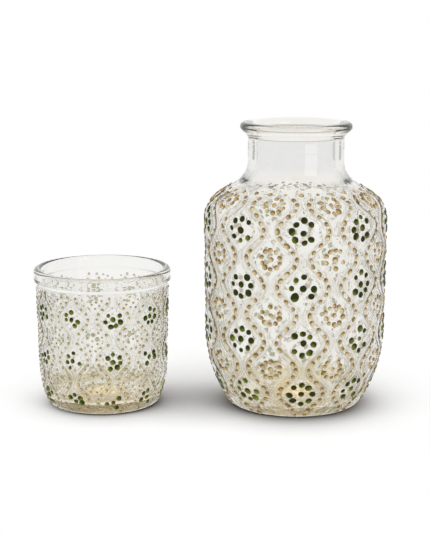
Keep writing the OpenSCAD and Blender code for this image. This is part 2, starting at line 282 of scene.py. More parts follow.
def tumblerSection(c):
    belly = (c["bellyWidth"] / 2 - c["bellyRound"], c["bellyHeight"], c["bellyRound"])
    foot = rolledIn(belly, c["footRound"], 0)
    inside = (belly[0], belly[1], belly[2] - c["wall"])
    heel = rolledIn(inside, c["heel"], c["base"])
    rim = ((c["collarWidth"] - c["rim"]) / 2, c["height"] - c["rim"] / 2, c["rim"] / 2)
    root = (c["width"] / 2 + c["collarRoot"], c["height"] - c["collarHeight"])
    edgeX = c["collarWidth"] / 2 - c["collarEdge"]
    edgeZ = root[1] + riseAt(c["collarSlope"], root[0] - edgeX, c["collarRoot"] + c["collarEdge"])
    outer = bendsOf([
        foot, belly, (root[0], root[1], -c["collarRoot"]), (edgeX, edgeZ, c["collarEdge"]), rim,
    ], -math.pi / 2, math.pi / 2)
    inner = bendsOf([
        rim, (belly[0], belly[1], c["wall"] - c["bellyRound"]), (heel[0], heel[1], -c["heel"]),
    ], math.pi / 2, math.pi / 2)
    c["outer"] = walk(outer, c["outerSteps"])
    c["inner"] = walk(inner, c["innerSteps"])
    rootFace = outer[2][3]
    startX = root[0] - c["collarRoot"] * math.cos(rootFace)
    startZ = root[1] - c["collarRoot"] * math.sin(rootFace)
    near = np.hypot(c["outer"][:, 1] - startX, c["outer"][:, 2] - startZ)
    c["lineTop"] = float(c["outer"][near.argmin()][0]) - c["collarInset"]
    c["dropTop"] = c["lineTop"]
    c["pitch"] = (c["lineTop"] - c["firstRun"]) / (c["rows"] - halfRow)
    c["reliefTop"] = c["lineTop"] + c["reliefPast"]


carafeSection(carafe)
tumblerSection(tumbler)
tumblerLow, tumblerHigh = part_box("tumbler_glass")
tumbler["x"] = (tumblerLow.x + tumblerHigh.x) / 2 / mm
print("sections ready, carafe pitch %.2f, tumbler pitch %.2f" % (carafe["pitch"], tumbler["pitch"]))


def smooth(low, high, value):
    t = np.clip((np.asarray(value, float) - low) / (high - low), 0, 1)
    return t * t * (3 - 2 * t)


# layout of both skins, with lengths in millimetres along the wall
skinPlan = {
    "puntRows": 6, "floorRows": 5, "leastSpread": 0.4, "innerFade": 8, "mergeWithin": 0.001,
    "reliefRise": 7, "reliefFade": 3,  # over which the raised lines begin and end
    "swayIn": 6, "followIn": 2, "evenOver": 9,  # over which strands take to the lines and leave them
    # strands over a bead, how they crowd there, and its flanks and edges in half widths from its middle
    "beadStrands": 11, "crowd": (2.9, 4.0, 3.1), "flank": (1.6, 0.55), "edge": (0.75, 1.12, 1.5),
}


# strength of the raised lines at a run up the wall
def relief(c, run):
    begun = smooth(c["reliefFoot"] - skinPlan["reliefRise"], c["reliefFoot"], run)
    return begun * (1 - smooth(c["reliefTop"] - skinPlan["reliefFade"], c["reliefTop"], run))


# turn of a wavy line at a run, in degrees from its straight middle
def swing(c, line, run):
    side = 1 if line % 2 == 0 else -1
    return side * c["sway"] * np.cos(2 * np.pi * (np.asarray(run, float) - c["firstRun"]) / c["pitch"])


# place on the outer wall: point and outward direction, in millimetres
def onWall(c, run, turn, lift=0.0):
    rows = c["outer"]
    x = np.interp(run, rows[:, 0], rows[:, 1])
    z = np.interp(run, rows[:, 0], rows[:, 2])
    face = np.interp(run, rows[:, 0], rows[:, 3])
    a = math.radians(turn)
    out = Vector((math.cos(face) * math.cos(a), math.cos(face) * math.sin(a), math.sin(face)))
    point = Vector((c["x"] + x * math.cos(a), x * math.sin(a), z))
    return point + out * lift, out


# the skin of a glass, row by row: under the base, up the outer wall, over the rim, down inside
# and across the floor
def skinRows(c):
    under = puntRows(c["puntWidth"] / 2, c["puntDepth"], skinPlan["puntRows"])
    floorR, floorZ = c["inner"][-1][1:3]
    shares = [k / skinPlan["floorRows"] for k in reversed(range(skinPlan["floorRows"]))]
    floor = np.array([(0, floorR * share, floorZ, math.pi / 2) for share in shares])
    skin = np.vstack([under, c["outer"], c["inner"][1:], floor])
    run, radius, height, facing = skin.T
    onOuter = np.zeros(len(skin), bool)
    onOuter[len(under):len(under) + len(c["outer"])] = True
    onInner = np.arange(len(skin)) >= len(under) + len(c["outer"])
    above = smooth(c["reliefTop"], c["reliefTop"] + skinPlan["evenOver"], run)
    inward = 1 - smooth(c["clearFrom"] - skinPlan["innerFade"], c["clearFrom"], height)
    half = c["width"] / 2
    return {
        "run": run, "radius": radius, "height": height, "facing": facing,
        "spread": np.where(onOuter, np.maximum(radius, skinPlan["leastSpread"] * half), half),
        "sways": np.where(onOuter, smooth(0, skinPlan["swayIn"], run) * (1 - above), 0),
        "follows": np.where(onOuter, smooth(0, skinPlan["followIn"], run) * (1 - above), 0),
        "raised": np.where(onOuter, relief(c, run), 0),
        "inner": np.where(onInner, inward, 0),
    }


# an empty node tree with its inputs, which a modifier sets by their identifiers
def openTree(name, inputs, result):
    tree = bpy.data.node_groups.new(name, "GeometryNodeTree")
    made = {}
    for label, kind in inputs.items():
        socket = tree.interface.new_socket(label, in_out="INPUT", socket_type="NodeSocket" + kind)
        made[label] = socket.identifier
    tree.interface.new_socket(result, in_out="OUTPUT", socket_type="NodeSocketGeometry")
    return tree, made


# seam and poles merged, faces turned outwards
def closeSkin(wire, shaped, glass):
    closed = wire.node("GeometryNodeMergeByDistance", sockets={
        "Geometry": shaped, "Distance": skinPlan["mergeWithin"] * mm})
    outward = wire.node("GeometryNodeFlipFaces", sockets={"Mesh": closed})
    soft = wire.node("GeometryNodeSetShadeSmooth", sockets={"Geometry": outward})
    solid = wire.node("GeometryNodeRealizeInstances", sockets={"Geometry": soft})
    return wire.node("GeometryNodeSetMaterial", sockets={"Geometry": solid, "Material": glass})


# one closed skin round the axis: its strands of points run up along every wavy line, which is a raised bead
def skinTree():
    tree, made = openTree("wavy glass skin", {
        "Section": "Geometry", "Rows": "Int", "Lines": "Int", "Between": "Int", "Axis": "Float",
        "First Turn": "Float", "Sway": "Float", "Pitch": "Float", "First Run": "Float",
        "Ridge": "Float", "Ridge Half": "Float", "Glass": "Material",
    }, "Skin")
    wire = Wire(tree)
    given = wire.node("NodeGroupInput")
    half = given.out("Ridge Half")
    beadEnd = skinPlan["beadStrands"] - 1
    beadHalf = beadEnd / 2
    strands = given.out("Between") + skinPlan["beadStrands"]  # those over a bead and those on to the next
    around = given.out("Lines") * strands  # one more lies on the first, and merging closes the skin
    index = wire.node("GeometryNodeInputIndex")
    column = wire.calc("MODULO", index, around + 1.0)
    rowIndex = wire.calc("FLOOR", index / (around + 1.0))

    def row(label):
        value = wire.node("GeometryNodeInputNamedAttribute", {"data_type": "FLOAT"}, {"Name": label})
        return wire.node("GeometryNodeSampleIndex", {"data_type": "FLOAT", "domain": "POINT"},
                         {"Geometry": given.out("Section"), "Value": value, "Index": rowIndex})

    line = wire.calc("FLOOR", column / strands)
    strand = column - line * strands
    step = 2 * math.pi / given.out("Lines")
    wave = (row("run") - given.out("First Run")) * (2 * math.pi) / given.out("Pitch")
    swings = given.out("Sway") * row("sways") * (1.0 - 2.0 * wire.calc("MODULO", line, 2.0))
    swung = swings * wire.calc("COSINE", wave)
    steep = swings * wire.calc("SINE", wave) * row("radius") * (2 * math.pi) / given.out("Pitch")
    reach = wire.calc("SQRT", 1.0 + steep * steep) / row("spread")  # turn per millimetre square to a line
    here = given.out("First Turn") + (line + 0.5) * step + swung
    # from one bead to the next, less the two half widths that each takes on this side
    span = step - 2.0 * swung - 4.0 * half * reach

    # across a bead the strands crowd at its two edges, then they spread evenly to the next one
    part = wire.calc("MINIMUM", (strand - beadHalf) / beadHalf, 1.0)
    square = part * part
    first, third, fifth = skinPlan["crowd"]
    across = part * (first - third * square + fifth * square * square)
    past = wire.calc("MAXIMUM", strand - beadEnd, 0.0) / (strands - beadEnd)
    even = given.out("First Turn") + (column + strands * 0.5 - beadHalf) * (2 * math.pi) / around
    turn = even + (here + across * half * reach + past * span - even) * row("follows")
    off = wire.calc("ABSOLUTE", across)
    bead = row("raised") * off.ramp(*skinPlan["flank"])
    inEdge, onEdge, outEdge = skinPlan["edge"]
    edge = row("raised") * off.ramp(inEdge, onEdge) * off.ramp(outEdge, onEdge)
    apart = off * half + wire.calc("MINIMUM", past, 1.0 - past) * span / reach

    lifted = bead * given.out("Ridge")
    radius = row("radius") + lifted * wire.calc("COSINE", row("facing"))
    height = row("height") + lifted * wire.calc("SINE", row("facing"))
    aside = given.out("Axis") + radius * wire.calc("COSINE", turn)
    deep = radius * wire.calc("SINE", turn)
    place = wire.node("ShaderNodeCombineXYZ", sockets={0: aside, 1: deep, 2: height})
    scaled = wire.node("ShaderNodeVectorMath", {"operation": "SCALE"}, {0: place, "Scale": mm})
    grid = wire.node("GeometryNodeMeshGrid", sockets={
        "Vertices X": given.out("Rows"), "Vertices Y": around + 1.0})
    shaped = wire.node("GeometryNodeSetPosition", sockets={"Geometry": grid, "Position": scaled})
    stored = {"ridge": bead, "edge": edge, "apart": apart, "pattern": row("raised"), "inside": row("inner")}
    for label, value in stored.items():
        shaped = wire.node("GeometryNodeStoreNamedAttribute", {"data_type": "FLOAT", "domain": "POINT"},
                           {"Geometry": shaped, "Name": label, "Value": value})
    wire.node("NodeGroupOutput", sockets={"Skin": closeSkin(wire, shaped, given.out("Glass"))})
    return tree, made


# points with named values, run through a node tree into a plain mesh
def grow(name, points, values, tree, settings):
    mesh = bpy.data.meshes.new(name + "_points")
    mesh.from_pydata(points, [], [])
    for label, value in values.items():
        value = np.array(value, float)
        kind, part = ("FLOAT", "value") if value.ndim == 1 else ("FLOAT_VECTOR", "vector")
        layer = mesh.attributes.new(label, kind, "POINT")
        layer.data.foreach_set(part, value.ravel())
    source = bpy.data.objects.new(name + "_points", mesh)
    bpy.context.scene.collection.objects.link(source)
    modifier = source.modifiers.new(tree.name, "NODES")
    modifier.node_group = tree
    for key, value in settings.items():
        modifier[key] = value
    graph = bpy.context.evaluated_depsgraph_get()
    grown = source.evaluated_get(graph)
    final = bpy.data.meshes.new_from_object(grown, preserve_all_data_layers=True, depsgraph=graph)
    source.modifiers.remove(modifier)
    bpy.data.objects.remove(source)
    final.name = name
    piece = bpy.data.objects.new(name, final)
    bpy.context.scene.collection.objects.link(piece)
    print(name, len(final.polygons), "faces")
    return piece


skinGroup, skinInputs = skinTree()


def blowGlass(name, c, glass):
    rows = skinRows(c)
    settings = {
        "Rows": len(rows["run"]), "Lines": 2 * c["columns"], "Between": c["between"], "Axis": c["x"],
        "First Turn": math.radians(frontTurn + c["turn"]), "Sway": math.radians(c["sway"]),
        "Pitch": c["pitch"], "First Run": c["firstRun"],
        "Ridge": c["ridge"], "Ridge Half": c["ridgeHalf"], "Glass": glass,
    }
    points = [(0, 0, height * mm) for height in rows["height"]]
    inputs = {skinInputs[key]: value for key, value in settings.items()}
    return grow(name, points, rows, skinGroup, inputs)


# glass: faintly uneven, a trace of olive in the thickness, and a painted amber glow low in the base where
# light gathers
glassLook = {
    "ior": 1.5, "density": 21.0, "absorb": (0.72, 0.67, 0.52, 1), "clear": (0.918, 0.922, 0.931, 1),
    # the next line ends with the two colours of a painted amber glow low in the base; the line after gives
    # how much of that glowing layer shows, its haze and how clear it is
    "haze": 0.03, "rippleHaze": 0.02, "paintedGlowAmber": (0.92, 0.64, 0.25, 1), "paintedGlowPale": (1.0, 0.90, 0.62, 1),
    "paintedGlowLayer": 0.6, "paintedGlowHaze": 0.35, "paintedGlowClear": 0.4,
    # painted shade along the edges of the raised lines: its colour and how much more of it shows low down;
    # then the gilt along the lines
    "edge": (0.38, 0.31, 0.18, 1), "paintedEdgeShadeLow": 0.3, "gilt": (0.80, 0.61, 0.31, 1), "giltRuns": 0.25,
    # rises in millimetres, and the scales of their patterns to the metre
    "ripple": 0.03, "inner": 0.09, "threads": 0.1, "contour": 0.2, "seeds": 0.18,
    "swirlScale": 130.0, "swirlBend": 1.6, "runScale": 45.0, "cellScale": 300.0, "streakScale": 230.0,
    "rippleScale": 140.0, "fineScale": 280.0, "threadScale": 620.0,
    # where a look begins and where it is full, in millimetres from the base, the clear part or the lip
    # among these: where the painted amber glow lies low in the base, where the base's darker tint lies, and
    # where the glass is painted a shade lighter higher up
    "sunk": (3, 0.5), "foot": (12, 2), "baseTintBand": (11, 1),
    "bodied": (9, -2), "paintedUpperLightBand": (-35, -8), "lipped": (-2, 2),
    "threadFade": 2, "lowShare": 0.6, "poolShare": 0.55,
    "contourAt": 3, "contourHalf": 0.8,  # the first in half widths of a line
}


# patterns in a glass and the places where it changes
def glassMarks(wire, c):
    g = glassLook
    coords = wire.node("ShaderNodeTexCoord").out("Object")
    split = wire.node("ShaderNodeSeparateXYZ", sockets={0: coords})
    z = split.out("Z")
    x = split.out("X") - c["x"] * mm
    far = wire.calc("SQRT", x * x + split.out("Y") * split.out("Y"))

    def band(height, label):
        begins, full = g[label]
        return z.ramp((height + begins) * mm, (height + full) * mm)

    swirl = wire.noise(coords, g["swirlScale"], 2.0, g["swirlBend"])
    runs = wire.noise(coords, g["runScale"], 1.0)
    streaks = wire.noise(wire.vector("MULTIPLY", coords, c["drawn"]), g["streakScale"], 2.0)
    cells = wire.node("ShaderNodeTexVoronoi", sockets={"Vector": coords, "Scale": g["cellScale"]})
    level = wire.node("ShaderNodeCombineXYZ", sockets={2: z})
    # the painted amber glow lies low in the base, round the axis, in patches
    pooled = far.ramp(c["paintedGlowReach"] * mm, c["paintedGlowReach"] * g["poolShare"] * mm)
    pattern = wire.read("pattern")
    apart = wire.read("apart")
    inset = c["ridgeHalf"] * g["contourAt"]
    thin = apart.ramp(inset - g["contourHalf"], inset) * apart.ramp(inset + g["contourHalf"], inset)
    under, over = c["threads"]
    turned = z.ramp((under - g["threadFade"]) * mm, under * mm)
    return {
        "swirl": swirl, "runs": runs, "streaks": streaks, "cells": cells,
        "ripple": wire.noise(coords, g["rippleScale"], 3.0),
        "fine": wire.noise(coords, g["fineScale"], 2.0),
        "threads": wire.noise(level, g["threadScale"], 1.0),
        "turned": turned * z.ramp((over + g["threadFade"]) * mm, over * mm),
        "glow": band(c["base"], "sunk") * pooled * swirl.ramp(0.35, 0.55, 0.3, 1.0),
        "seeds": pattern * cells.ramp(0.3, 0.1) * swirl.ramp(0.45, 0.6),
        "contour": pattern * thin * runs.ramp(0.35, 0.6),
        "foot": band(c["base"], "foot"),
        "base": band(c["base"], "baseTintBand") * streaks.ramp(0.42, 0.58, 0.2, 1.0),
        "body": band(c["clearFrom"], "bodied"),
        "high": band(c["clearFrom"], "paintedUpperLightBand"),
        "lip": band(c["lipFrom"], "lipped"),
        "low": z.ramp(c["height"] * g["lowShare"] * mm, c["base"] * mm),
        "ridge": wire.read("ridge"), "edge": wire.read("edge"), "inside": wire.read("inside"),
    }


# clear neck, straw body a shade lighter higher up as painted light, a darker warm streaked tint in the
# base, then the painted amber glow, painted shade on the edges of the lines and gilt along the lines
def glassColour(c, m, paintedGlowAmber):
    g = glassLook
    colour = m["body"].tint(g["clear"], m["high"].tint(c["straw"], c["paintedUpperLight"]))
    colour = m["lip"].tint(colour, c["lip"])
    colour = m["base"].tint(colour, c["baseTint"])
    colour = m["glow"].tint(colour, paintedGlowAmber)
    colour = (m["edge"] * (m["low"] * g["paintedEdgeShadeLow"] + c["paintedEdgeShade"])).tint(colour, g["edge"])
    gilded = m["runs"].ramp(0.45, 0.7) * g["giltRuns"] + m["low"] * c["giltLow"]
    return (m["ridge"] * gilded).tint(colour, g["gilt"])


def glassRise(c, m):
    g = glassLook
    rise = m["ripple"] * g["ripple"] + m["inside"] * m["fine"] * g["inner"]
    rise = rise + m["streaks"] * m["foot"] * c["streaks"] + m["threads"] * m["turned"] * g["threads"]
    rise = rise + m["contour"] * g["contour"] + m["seeds"] * g["seeds"]
    return rise + m["cells"].ramp(0.1, 0.6) * m["foot"] * c["dimples"]


def clearGlass(name, c):
    look, shader, wire = newLook(name)
    g = glassLook
    marks = glassMarks(wire, c)
    # colour of the painted amber glow, from deep amber to pale
    paintedGlowAmber = marks["swirl"].ramp(0.4, 0.58).tint(g["paintedGlowAmber"], g["paintedGlowPale"])
    bump = wire.node("ShaderNodeBump", sockets={
        "Strength": 1.0, "Distance": mm, "Height": glassRise(c, marks)})
    glassColour(c, marks, paintedGlowAmber).feed(shader, "Base Color")
    bump.feed(shader, "Normal")
    (marks["ripple"] * g["rippleHaze"] + marks["inside"] * g["haze"]).feed(shader, "Roughness")
    shader.inputs["Transmission Weight"].default_value = 1
    shader.inputs["IOR"].default_value = g["ior"]
    # a layer that shines by itself paints the amber glow, mixed in where the glow lies
    paintedGlowLayer = wire.node("ShaderNodeBsdfPrincipled", sockets={
        "Base Color": paintedGlowAmber, "Roughness": g["paintedGlowHaze"], "Transmission Weight": g["paintedGlowClear"],
        "Emission Color": paintedGlowAmber, "Emission Strength": c["paintedGlowStrength"]})
    mixed = wire.node("ShaderNodeMixShader", sockets={
        0: marks["glow"] * g["paintedGlowLayer"], 1: Wire(wire.tree, shader.outputs[0]), 2: paintedGlowLayer})
    absorb = wire.node("ShaderNodeVolumeAbsorption", sockets={
        "Color": g["absorb"], "Density": g["density"]})
    output = wire.tree.nodes["Material Output"]
    mixed.feed(output, "Surface")
    absorb.feed(output, "Volume")
    return look


# offset from the middle of a drop in drop radii, and how far it lies towards its lit side, where painted
# light gathers
def inDrop(wire, coords):
    breadth = wire.read("breadth")
    away = wire.vector("SUBTRACT", coords, wire.read("middle", "Vector"))
    reach = wire.node("ShaderNodeVectorMath", {"operation": "LENGTH"}, {0: away}, out="Value")
    towardsLitSide = wire.vector("DOT_PRODUCT", away, wire.read("litSide", "Vector"), out="Value")
    return reach / breadth, towardsLitSide / breadth


backLook = {"roughness": 0.5, "metallic": 0.7, "paintedGlowStrength": 0.22}


# the flat back of a drop is pale and glows a little, a painted glow that stands in for light through the
# enamel, so drops on the far wall stay faint
def backed(wire, shader, tones):
    pale = wire.node("ShaderNodeBsdfPrincipled", sockets={
        "Base Color": tones["back"], "Roughness": backLook["roughness"], "Metallic": backLook["metallic"],
        "Emission Color": tones["paintedBackGlow"], "Emission Strength": backLook["paintedGlowStrength"]})
    front = Wire(wire.tree, shader.outputs[0])
    mixed = wire.node("ShaderNodeMixShader", sockets={0: wire.read("back"), 1: front, 2: pale})
    mixed.feed(wire.tree.nodes["Material Output"], "Surface")


# enamels: shares of the drop's own shade, the mottle and the place in the drop that make a colour lighter;
# the place in the drop is painted light, lighter on one side and, in gold, in the middle
greenLook = {
    "deep": (0.014, 0.020, 0.001, 1), "leaf": (0.14, 0.17, 0.008, 1), "lit": (0.36, 0.39, 0.055, 1),
    # the drop's pale back and the colour of the painted glow on it
    "back": (0.93, 0.94, 0.86, 1), "paintedBackGlow": (0.76, 0.76, 0.36, 1),
    "shade": 0.75, "mottle": 0.3, "litSide": 0.4, "darker": 0.32,
    "mottleScale": 380.0, "haze": (0.12, 0.3), "clear": 0.7, "ior": 1.2,
}


def greenEnamel():
    look, shader, wire = newLook("green enamel")
    g = greenLook
    coords = wire.node("ShaderNodeTexCoord").out("Object")
    mottle = wire.noise(coords, g["mottleScale"], 2.0)
    towardsLitSide = inDrop(wire, coords)[1]
    depth = wire.read("shade") * g["shade"] + mottle * g["mottle"] + towardsLitSide * g["litSide"] - g["darker"]
    colour = depth.ramp(0.1, 0.6).tint(g["deep"], g["leaf"])
    # the lit colour is partly painted light, strongest on the lit side of a drop
    depth.ramp(0.5, 0.95).tint(colour, g["lit"]).feed(shader, "Base Color")
    mottle.ramp(0.3, 0.7, *g["haze"]).feed(shader, "Roughness")
    shader.inputs["Transmission Weight"].default_value = g["clear"]
    shader.inputs["IOR"].default_value = g["ior"]
    backed(wire, shader, g)
    return look


goldLook = {
    "shade": 0.45, "mottle": 0.35, "litSide": 0.6, "middle": 0.4, "darker": 0.06,
    "mottleScale": 520.0, "haze": (0.22, 0.42), "clear": 0.4, "ior": 1.3,
    "grain": 0.2, "grainRise": 0.4,
}
# tones of gold: the palest is partly a painted highlight where a drop's painted light is strongest; then
# its pale back and the colour of the painted glow on it
goldTones = {
    "deep": (0.25, 0.16, 0.045, 1), "tan": (0.70, 0.50, 0.215, 1), "pale": (1.0, 0.90, 0.62, 1),
    "back": (0.95, 0.92, 0.84, 1), "paintedBackGlow": (1.0, 0.86, 0.60, 1),
}
oliveTones = {
    "deep": (0.32, 0.25, 0.11, 1), "tan": (0.62, 0.51, 0.28, 1), "pale": (0.92, 0.84, 0.60, 1),
    "back": (0.95, 0.93, 0.85, 1), "paintedBackGlow": (0.95, 0.88, 0.62, 1),
}


def goldEnamel(name, tones):
    look, shader, wire = newLook(name)
    g = goldLook
    coords = wire.node("ShaderNodeTexCoord").out("Object")
    mottle = wire.noise(coords, g["mottleScale"], 3.0)
    reach, towardsLitSide = inDrop(wire, coords)
    # tone is partly painted light: lighter towards the lit side and the middle of a drop, darker at its rim
    tone = wire.read("shade") * g["shade"] + mottle * g["mottle"] + towardsLitSide * g["litSide"]
    tone = tone + (1.0 - reach) * g["middle"] - g["darker"]
    colour = tone.ramp(0.15, 0.5).tint(tones["deep"], tones["tan"])
    tone.ramp(0.58, 0.95).tint(colour, tones["pale"]).feed(shader, "Base Color")
    bump = wire.node("ShaderNodeBump", sockets={
        "Strength": g["grain"], "Distance": g["grainRise"] * mm, "Height": mottle})
    bump.feed(shader, "Normal")
    mottle.ramp(0.3, 0.7, *g["haze"]).feed(shader, "Roughness")
    shader.inputs["Transmission Weight"].default_value = g["clear"]
    shader.inputs["IOR"].default_value = g["ior"]
    backed(wire, shader, tones)
    return look


# every drop is a ball cut off below its middle, with both levels in radii; then how drops vary and sit
dropShape = {
    "sides": 12, "rings": 6, "cut": -0.12, "backUnder": -0.1, "wobbleScale": 420.0,
    "uneven": 0.11, "longer": (0.84, 1.16),
    # the painted lit side of a drop, in radians
    "litSide": (3.4, 5.6),  # radians: low in the drop, to one side or the other
    "middleWider": 1.05, "onBead": 0.8, "seed": 41,
}


# drops: a low dome on every point, its size, facing and shade read from the point
def dropTree():
    tree, made = openTree("enamel drops", {
        "Points": "Geometry", "Sides": "Int", "Wobble": "Float", "Enamel": "Material"}, "Drops")
    wire = Wire(tree)
    given = wire.node("NodeGroupInput")
    ball = wire.node("GeometryNodeMeshUVSphere", sockets={
        "Segments": given.out("Sides"), "Rings": dropShape["rings"], "Radius": 1.0})
    place = wire.node("GeometryNodeInputPosition")
    split = wire.node("ShaderNodeSeparateXYZ", sockets={0: place})
    level = wire.calc("MAXIMUM", split.out("Z"), dropShape["cut"])
    flat = wire.node("ShaderNodeCombineXYZ", sockets={0: split.out("X"), 1: split.out("Y"), 2: level})
    shaped = wire.node("GeometryNodeSetPosition", sockets={"Geometry": ball, "Position": flat})
    under = wire.calc("LESS_THAN", split.out("Z"), dropShape["backUnder"])
    dome = wire.node("GeometryNodeStoreNamedAttribute", {"data_type": "FLOAT", "domain": "POINT"},
                     {"Geometry": shaped, "Name": "back", "Value": under})
    read = {}
    for label, kind in (("facing", "FLOAT_VECTOR"), ("size", "FLOAT_VECTOR"), ("spin", "FLOAT")):
        read[label] = wire.node("GeometryNodeInputNamedAttribute", {"data_type": kind}, {"Name": label})
    aim = wire.node("FunctionNodeAlignRotationToVector", {"axis": "Z"}, {"Vector": read["facing"]})
    spun = wire.node("FunctionNodeAxisAngleToRotation", sockets={"Axis": (0, 0, 1), "Angle": read["spin"]})
    turned = wire.node("FunctionNodeRotateRotation", {"rotation_space": "LOCAL"}, {0: aim, 1: spun})
    placed = wire.node("GeometryNodeInstanceOnPoints", sockets={
        "Points": given, "Instance": dome, "Rotation": turned, "Scale": read["size"]})
    solid = wire.node("GeometryNodeRealizeInstances", sockets={"Geometry": placed})
    ripple = wire.node("ShaderNodeTexNoise", sockets={
        "Scale": dropShape["wobbleScale"], "Detail": 1.0})
    centred = wire.vector("SUBTRACT", ripple.out("Color"), (0.5, 0.5, 0.5))
    shove = wire.node("ShaderNodeVectorMath", {"operation": "SCALE"}, {
        0: centred, "Scale": given.out("Wobble")})
    uneven = wire.node("GeometryNodeSetPosition", sockets={"Geometry": solid, "Offset": shove})
    soft = wire.node("GeometryNodeSetShadeSmooth", sockets={"Geometry": uneven})
    painted = wire.node("GeometryNodeSetMaterial", sockets={
        "Geometry": soft, "Material": given.out("Enamel")})
    wire.node("NodeGroupOutput", sockets={"Drops": painted})
    return tree, made


dropGroup, dropInputs = dropTree()


def layDrops(name, s, drops, enamel):
    labels = ("facing", "size", "spin", "shade", "middle", "litSide", "breadth")
    values = {label: [drop[label] for drop in drops] for label in labels}
    settings = {"Sides": dropShape["sides"], "Wobble": s["wobble"] * mm, "Enamel": enamel}
    points = [tuple(drop["at"] * mm) for drop in drops]
    inputs = {dropInputs[key]: value for key, value in settings.items()}
    return grow(name, points, values, dropGroup, inputs)


# one drop near its place on glass c, with the settings s of its kind
def oneDrop(rng, c, s, run, turn, wider=1.0, lift=0.0):
    half = s["width"] / 2 * wider
    shade = c["shadeLow"] + (1 - c["shadeLow"]) * rng.random()
    scale = rng.gauss(1, dropShape["uneven"])
    run = run + rng.uniform(-s["loose"], s["loose"])
    turn = turn + math.degrees(rng.uniform(-s["loose"], s["loose"]) / (c["width"] / 2))
    point, out = onWall(c, run, turn, lift)
    # the side of the drop where painted light gathers
    litSide = rng.uniform(*dropShape["litSide"])  # where light gathers in the drop
    spin = rng.uniform(0, 2 * math.pi)
    longer = rng.uniform(*dropShape["longer"])
    return {
        "at": point, "facing": tuple(out), "spin": spin, "shade": shade,
        "middle": tuple(point * mm), "breadth": half * mm,
        "litSide": (-out.y * math.cos(litSide), out.x * math.cos(litSide), math.sin(litSide)),
        "size": (half * scale * longer * mm, half * scale * mm, s["rise"] * scale * mm),
    }


# flowers in rows and columns: a drop in the middle and petals in rings round it, cut off at the top
def flowers(rng, c, s):
    drops = []
    for row in range(c["rows"]):
        run = c["firstRun"] + c["pitch"] * (row + s["shift"])
        for column in range(c["columns"]):
            middle = frontTurn + c["turn"] + 360 / c["columns"] * (column + s["shift"])
            if run < c["dropTop"]:
                drops.append(oneDrop(rng, c, s, run, middle, wider=dropShape["middleWider"]))
            for petals, ring in s["rings"]:
                for petal in range(petals):
                    a = 2 * math.pi * petal / petals
                    petalRun = run + ring * math.cos(a)
                    radius = np.interp(petalRun, c["outer"][:, 0], c["outer"][:, 1])
                    off = math.degrees(ring * math.sin(a) / radius)
                    if petalRun < c["dropTop"] and rng.random() > s["skip"]:
                        drops.append(oneDrop(rng, c, s, petalRun, middle + off))
    return drops


# drops along every wavy line, on top of its raised bead
def lineDrops(rng, c, s):
    drops = []
    for line in range(2 * c["columns"]):
        middle = frontTurn + c["turn"] + 180 / c["columns"] * (line + 0.5)
        for k in range(c["lineCount"]):
            run = c["lineFoot"] + (c["lineTop"] - c["lineFoot"]) * k / (c["lineCount"] - 1)
            lift = c["ridge"] * float(relief(c, run)) * dropShape["onBead"]
            if rng.random() > s["skip"]:
                turn = middle + float(swing(c, line, run))
                veer = float(swing(c, line, run + 0.5) - swing(c, line, run - 0.5))  # over a millimetre
                aside = math.radians(veer) * c["width"] / 2
                drop = oneDrop(rng, c, s, run, turn, lift=lift)
                # its long side follows the line
                drop["spin"] = math.atan2(1, aside) + math.radians(90 + turn)
                drop["size"] = (drop["size"][0] * s["along"], drop["size"][1], drop["size"][2])
                drops.append(drop)
    return drops


# one ring of drops round the top of the shoulder
def ringDrops(rng, c, s):
    turns = [frontTurn + c["turn"] + 360 / s["count"] * k for k in range(s["count"])]
    return [oneDrop(rng, c, s, c["ringRun"], turn) for turn in turns]


carafeGlass = blowGlass("carafe_clear_body", carafe, clearGlass("carafe clear glass", carafe))
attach(carafeGlass, "carafe")
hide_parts("carafe_glass")

tumblerGlass = blowGlass("tumbler_clear_body", tumbler, clearGlass("tumbler clear glass", tumbler))
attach(tumblerGlass, "tumbler")
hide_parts("tumbler_glass")

green = greenEnamel()
gold = goldEnamel("gold enamel", goldTones)
oliveGold = goldEnamel("olive gold enamel", oliveTones)


def setDrops(name, body, s, drops, enamel, nodes):
    piece = layDrops(name, s, drops, enamel)
    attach(piece, body)
    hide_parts(*nodes)


def numbered(name, count):
    return ["%s_%d" % (name, k) for k in range(1, count + 1)]


rng = random.Random(dropShape["seed"])

# kinds of drops: each ring of a flower is its petals and its radius, and skip is the share left out
carafeGreen = {
    "shift": 0, "rings": [(8, 6.8)], "width": 3.85, "rise": 0.65,
    "skip": 0.12, "loose": 0.6, "wobble": 0.35,
}
setDrops("carafe_green_drops", "carafe", carafeGreen, flowers(rng, carafe, carafeGreen),
         green, numbered("carafe_green_row", 4))

carafeGold = {
    "shift": halfRow, "rings": [(10, 5.8)], "width": 3.1, "rise": 0.55,
    "skip": 0.08, "loose": 0.35, "wobble": 0.3,
}
setDrops("carafe_gold_flowers", "carafe", carafeGold, flowers(rng, carafe, carafeGold),
         gold, numbered("carafe_gold_row", 4))

carafeLines = {"width": 2.6, "along": 1.4, "rise": 0.45, "skip": 0.06, "loose": 0.3, "wobble": 0.25}
carafeRing = {"count": 27, "width": 2.8, "rise": 0.5, "loose": 0.4}
shoulderRing = ringDrops(rng, carafe, carafeRing)
setDrops("carafe_gold_lines", "carafe", carafeLines, lineDrops(rng, carafe, carafeLines) + shoulderRing,
         gold, numbered("carafe_line_drops", 5) + ["carafe_shoulder_ring"])

tumblerGreen = {
    "shift": 0, "rings": [(7, 4.5)], "width": 3.2, "rise": 0.55,
    "skip": 0.2, "loose": 0.5, "wobble": 0.3,
}
setDrops("tumbler_green_drops", "tumbler", tumblerGreen, flowers(rng, tumbler, tumblerGreen),
         green, numbered("tumbler_green_row", 3))

